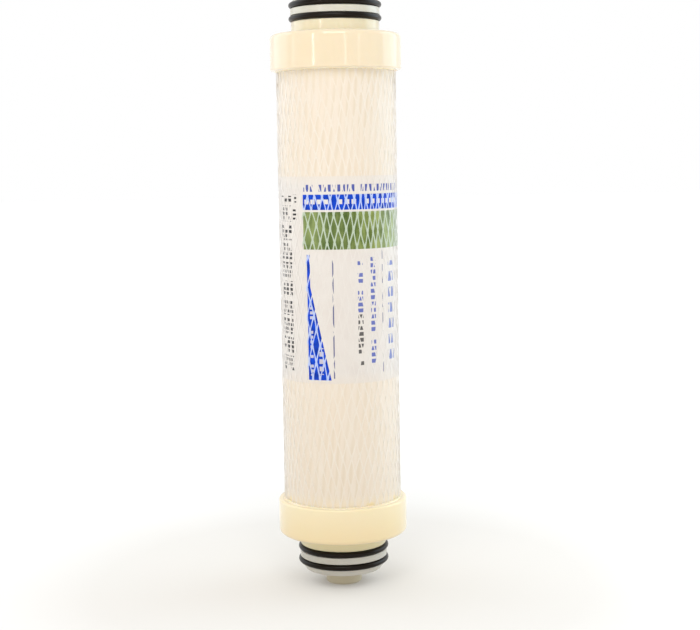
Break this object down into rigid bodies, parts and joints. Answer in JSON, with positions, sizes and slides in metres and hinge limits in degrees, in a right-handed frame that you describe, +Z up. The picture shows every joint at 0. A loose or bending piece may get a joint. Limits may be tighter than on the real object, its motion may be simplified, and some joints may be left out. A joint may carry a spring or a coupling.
{
  "type": "reverse-osmosis membrane element",
  "caption": "Upright spiral-wound water filter element: netted roll with a blue and green label, cream end caps, and a stub with black O-rings at each end.",
  "frame": {"origin": "centre of the lower end of the product tube, on the surface that the element stands on", "axes": "+Z up along the product tube, the element's axis; -Y is the side of the label that faces the viewer, and +Y is the side of its seam"},
  "size_m": [0.052, 0.052, 0.242],
  "materials": {
    "cap_plastic": "moulded cream, glossy",
    "carrier_plastic": "moulded grey-white, satin",
    "tube_plastic": "extruded cream, turned ends",
    "seal_rubber": "black, lightly greased",
    "net_plastic": "extruded diamond netting, translucent white",
    "tape_film": "cream film tape",
    "label_film": "white printed film with a blue band, a green field and a blue wedge",
    "adhesive": "amber cured resin",
    "tricot": "resin-stiffened knitted carrier",
    "membrane_film": "coated polymer sheet",
    "spacer_net": "white mesh spacer"
  },
  "bodies": {
    "root": {"permeate_tube": "tube_plastic", "end_cap_lower": "cap_plastic", "end_cap_upper": "cap_plastic", "seal_carrier_lower": "carrier_plastic", "seal_carrier_upper": "carrier_plastic", "o_ring_lower_outer": "seal_rubber", "o_ring_lower_inner": "seal_rubber", "o_ring_upper_inner": "seal_rubber", "o_ring_upper_outer": "seal_rubber", "roll_tape": "tape_film", "net_sleeve": "net_plastic", "bond_ring_lower": "adhesive", "bond_ring_upper": "adhesive", "label": "label_film", "glue_line_lower": "adhesive", "permeate_carrier": "tricot", "glue_line_upper": "adhesive", "membrane_leaf": "membrane_film", "feed_spacer": "spacer_net"}
  },
  "joints": []
}
